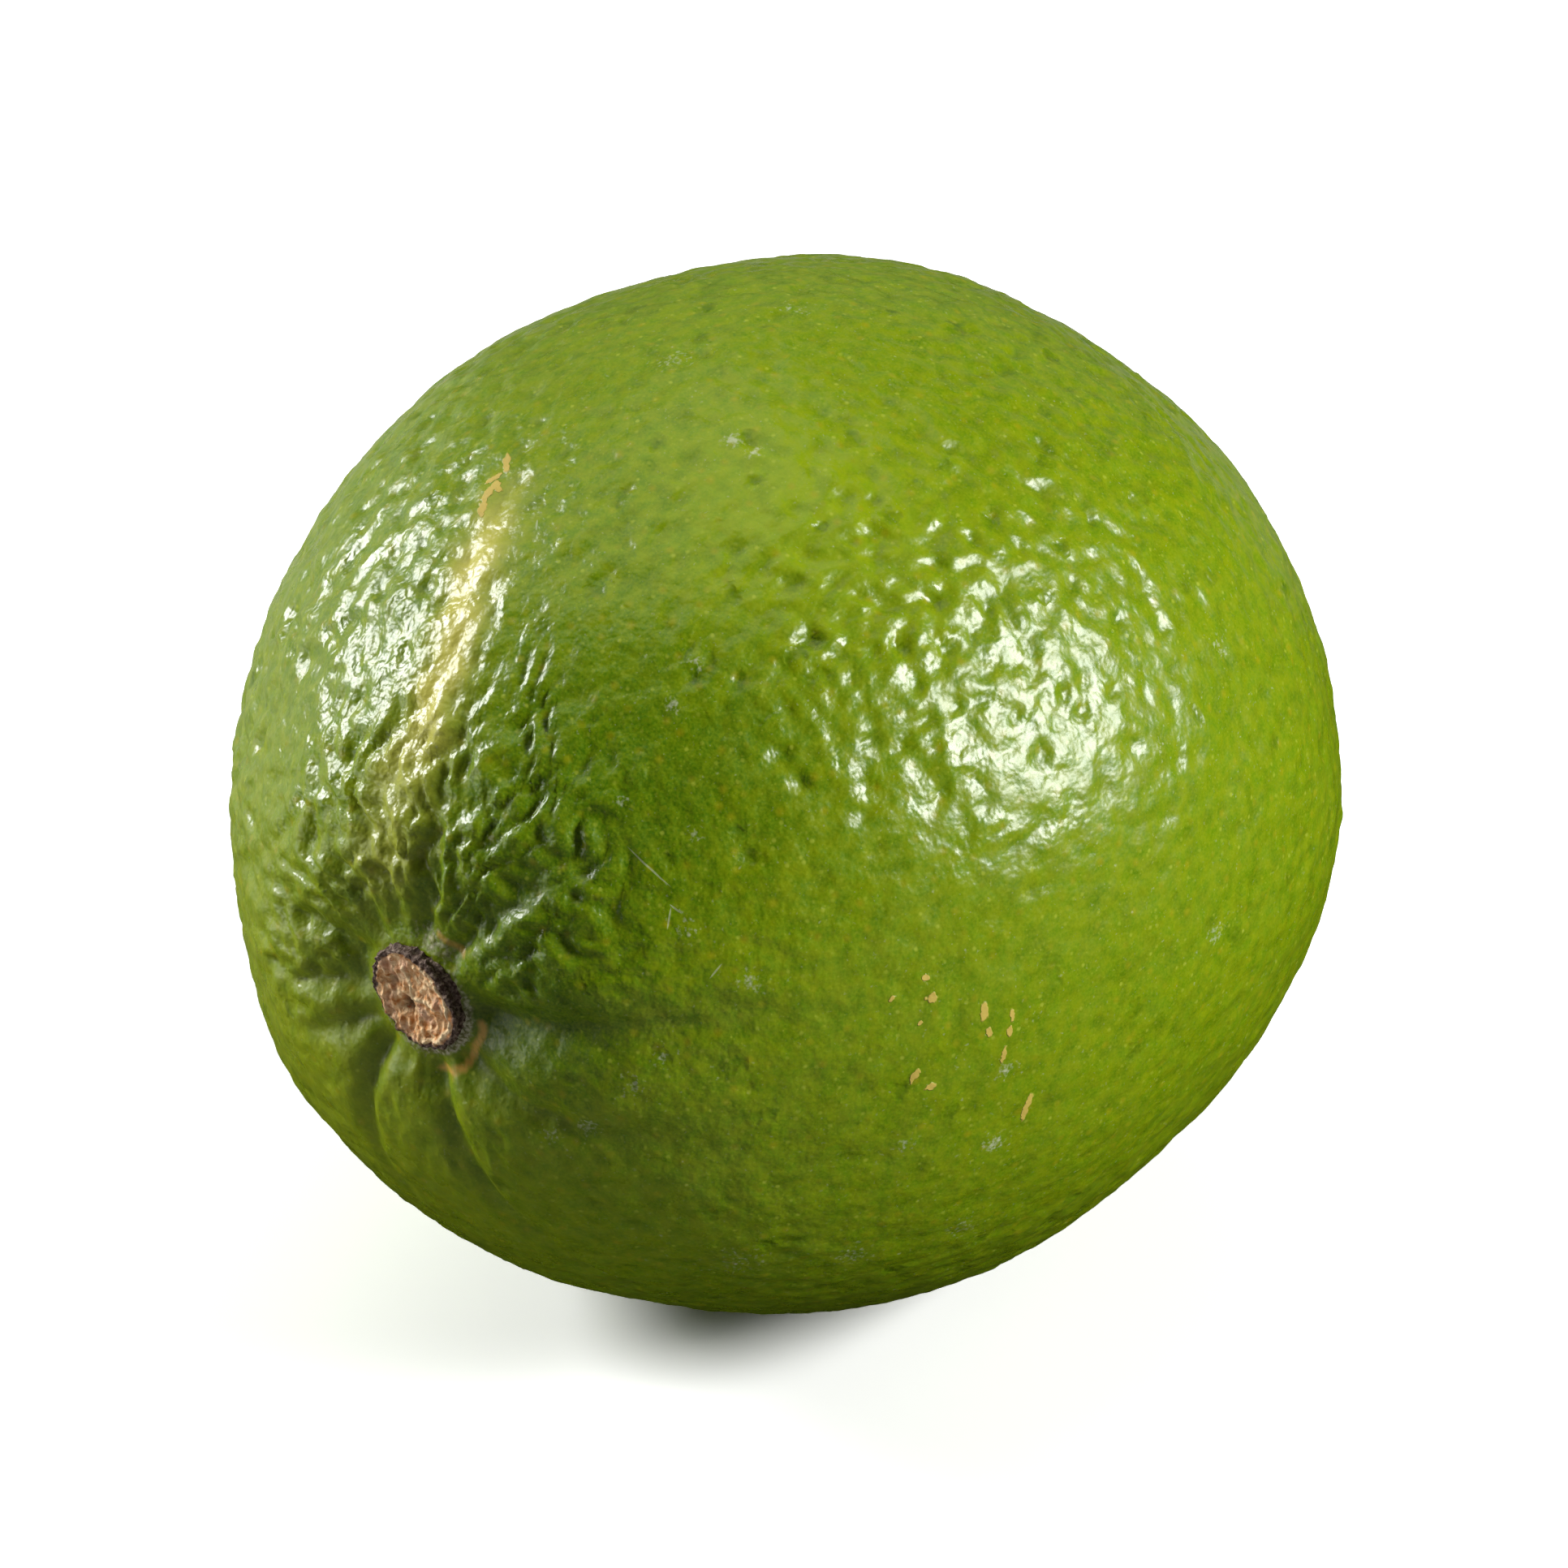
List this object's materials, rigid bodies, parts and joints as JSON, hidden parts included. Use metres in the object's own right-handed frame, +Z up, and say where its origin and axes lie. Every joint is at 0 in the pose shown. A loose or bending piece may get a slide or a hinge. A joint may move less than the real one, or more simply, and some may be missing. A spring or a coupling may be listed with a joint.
{
  "type": "lime",
  "caption": "Whole green lime lying on its side, with a folded stem end, a dry stalk stub and a low teat at the blossom end.",
  "frame": {"origin": "middle of the bounding box at its lowest level, on the surface that the lime rests on", "axes": "+Z up from that surface; the fruit's own axis lies along X, its stem end towards -X and tipped up 3.2 degrees, its blossom end towards +X"},
  "size_m": [0.0576, 0.05, 0.0494],
  "materials": {
    "peel": "waxed green citrus peel, glossy and finely dimpled",
    "stalk_wood": "dry bare wood with a dark bark edge"
  },
  "bodies": {
    "root": {"fruit": "peel", "stem_button": "stalk_wood"}
  },
  "joints": []
}
